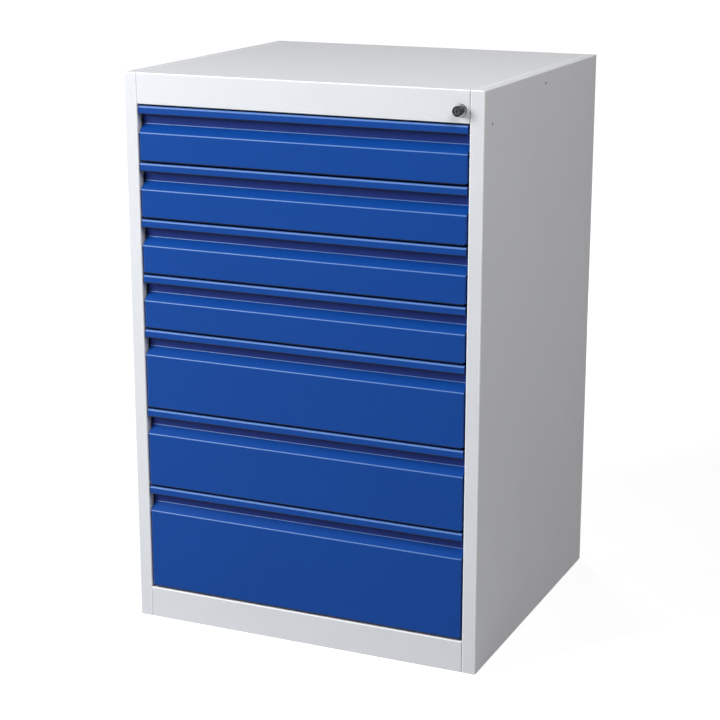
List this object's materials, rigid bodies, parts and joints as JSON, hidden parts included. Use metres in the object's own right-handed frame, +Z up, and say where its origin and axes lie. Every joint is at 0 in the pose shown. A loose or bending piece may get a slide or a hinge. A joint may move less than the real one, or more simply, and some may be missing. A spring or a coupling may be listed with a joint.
{
  "type": "drawer cabinet",
  "caption": "Steel workshop drawer cabinet: folded sheet housing, drawers with full-width grip fronts on telescopic runners, and a central key lock.",
  "frame": {"origin": "middle of the footprint on the floor, lock barrel included", "axes": "+Z up, -Y out of the drawer fronts, +X to the right seen from the front"},
  "size_m": [0.66, 0.616, 1],
  "materials": {
    "housing_paint": "light grey powder coat, fine texture",
    "front_paint": "deep blue powder coat, satin",
    "tray_paint": "light grey powder coat",
    "zinc_steel": "bright zinc plated",
    "screw_steel": "dark zinc plated",
    "lock_metal": "dark nickel, polished",
    "plug_metal": "nickel plated",
    "stop_rubber": "matt black"
  },
  "bodies": {
    "housing": {"right_side_panel": "housing_paint", "left_side_panel": "housing_paint", "top_panel": "housing_paint", "back_panel": "housing_paint", "plinth_panel": "housing_paint", "floor_panel": "housing_paint", "front_right_post": "housing_paint", "front_left_post": "housing_paint", "rear_right_post": "housing_paint", "rear_left_post": "housing_paint", "panel_screws": "screw_steel", "runner_screws": "zinc_steel", "runner_stops": "stop_rubber", "lock_housing": "lock_metal", "lock_nut": "zinc_steel", "bar_guides": "zinc_steel", "cabinet_runners_1": "zinc_steel", "cabinet_runners_2": "zinc_steel", "cabinet_runners_3": "zinc_steel", "cabinet_runners_4": "zinc_steel", "cabinet_runners_5": "zinc_steel", "cabinet_runners_6": "zinc_steel", "cabinet_runners_7": "zinc_steel"},
    "drawer_1": {"drawer_1_front": "front_paint", "drawer_1_box": "tray_paint", "drawer_1_runners": "zinc_steel"},
    "middle_runners_1": {"middle_runners_1": "zinc_steel"},
    "drawer_2": {"drawer_2_front": "front_paint", "drawer_2_box": "tray_paint", "drawer_2_runners": "zinc_steel"},
    "middle_runners_2": {"middle_runners_2": "zinc_steel"},
    "drawer_3": {"drawer_3_front": "front_paint", "drawer_3_box": "tray_paint", "drawer_3_runners": "zinc_steel"},
    "middle_runners_3": {"middle_runners_3": "zinc_steel"},
    "drawer_4": {"drawer_4_front": "front_paint", "drawer_4_box": "tray_paint", "drawer_4_runners": "zinc_steel"},
    "middle_runners_4": {"middle_runners_4": "zinc_steel"},
    "drawer_5": {"drawer_5_front": "front_paint", "drawer_5_box": "tray_paint", "drawer_5_runners": "zinc_steel"},
    "middle_runners_5": {"middle_runners_5": "zinc_steel"},
    "drawer_6": {"drawer_6_front": "front_paint", "drawer_6_box": "tray_paint", "drawer_6_runners": "zinc_steel"},
    "middle_runners_6": {"middle_runners_6": "zinc_steel"},
    "drawer_7": {"drawer_7_front": "front_paint", "drawer_7_box": "tray_paint", "drawer_7_runners": "zinc_steel"},
    "middle_runners_7": {"middle_runners_7": "zinc_steel"},
    "lock_cylinder": {"lock_cylinder": "plug_metal", "lock_cam": "zinc_steel"},
    "locking_bar": {"locking_bar": "zinc_steel", "bar_head": "zinc_steel", "bar_hooks": "zinc_steel"}
  },
  "joints": [
    {"name": "drawer_1_slide", "type": "slide", "parent": "housing", "child": "drawer_1", "axis": [0, -1, 0], "range_m": [0, 0.5]},
    {"name": "middle_runners_1_slide", "type": "slide", "parent": "housing", "child": "middle_runners_1", "axis": [0, -1, 0], "range_m": [0, 0.25]},
    {"name": "drawer_2_slide", "type": "slide", "parent": "housing", "child": "drawer_2", "axis": [0, -1, 0], "range_m": [0, 0.5]},
    {"name": "middle_runners_2_slide", "type": "slide", "parent": "housing", "child": "middle_runners_2", "axis": [0, -1, 0], "range_m": [0, 0.25]},
    {"name": "drawer_3_slide", "type": "slide", "parent": "housing", "child": "drawer_3", "axis": [0, -1, 0], "range_m": [0, 0.5]},
    {"name": "middle_runners_3_slide", "type": "slide", "parent": "housing", "child": "middle_runners_3", "axis": [0, -1, 0], "range_m": [0, 0.25]},
    {"name": "drawer_4_slide", "type": "slide", "parent": "housing", "child": "drawer_4", "axis": [0, -1, 0], "range_m": [0, 0.5]},
    {"name": "middle_runners_4_slide", "type": "slide", "parent": "housing", "child": "middle_runners_4", "axis": [0, -1, 0], "range_m": [0, 0.25]},
    {"name": "drawer_5_slide", "type": "slide", "parent": "housing", "child": "drawer_5", "axis": [0, -1, 0], "range_m": [0, 0.5]},
    {"name": "middle_runners_5_slide", "type": "slide", "parent": "housing", "child": "middle_runners_5", "axis": [0, -1, 0], "range_m": [0, 0.25]},
    {"name": "drawer_6_slide", "type": "slide", "parent": "housing", "child": "drawer_6", "axis": [0, -1, 0], "range_m": [0, 0.5]},
    {"name": "middle_runners_6_slide", "type": "slide", "parent": "housing", "child": "middle_runners_6", "axis": [0, -1, 0], "range_m": [0, 0.25]},
    {"name": "drawer_7_slide", "type": "slide", "parent": "housing", "child": "drawer_7", "axis": [0, -1, 0], "range_m": [0, 0.5]},
    {"name": "middle_runners_7_slide", "type": "slide", "parent": "housing", "child": "middle_runners_7", "axis": [0, -1, 0], "range_m": [0, 0.25]},
    {"name": "lock_turn", "type": "hinge", "parent": "housing", "child": "lock_cylinder", "pos_m": [0.289, -0.292, 0.967], "axis": [0, 1, 0], "range_deg": [0, 90]},
    {"name": "bar_lift", "type": "slide", "parent": "housing", "child": "locking_bar", "axis": [0, 0, 1], "range_m": [0, 0.012]}
  ],
  "couplings": [
    {"joint": "middle_runners_1_slide", "follows": "drawer_1_slide", "ratio": 0.5},
    {"joint": "middle_runners_2_slide", "follows": "drawer_2_slide", "ratio": 0.5},
    {"joint": "middle_runners_3_slide", "follows": "drawer_3_slide", "ratio": 0.5},
    {"joint": "middle_runners_4_slide", "follows": "drawer_4_slide", "ratio": 0.5},
    {"joint": "middle_runners_5_slide", "follows": "drawer_5_slide", "ratio": 0.5},
    {"joint": "middle_runners_6_slide", "follows": "drawer_6_slide", "ratio": 0.5},
    {"joint": "middle_runners_7_slide", "follows": "drawer_7_slide", "ratio": 0.5},
    {"joint": "lock_turn", "follows": "bar_lift", "rad_per_m": 130.89}
  ]
}
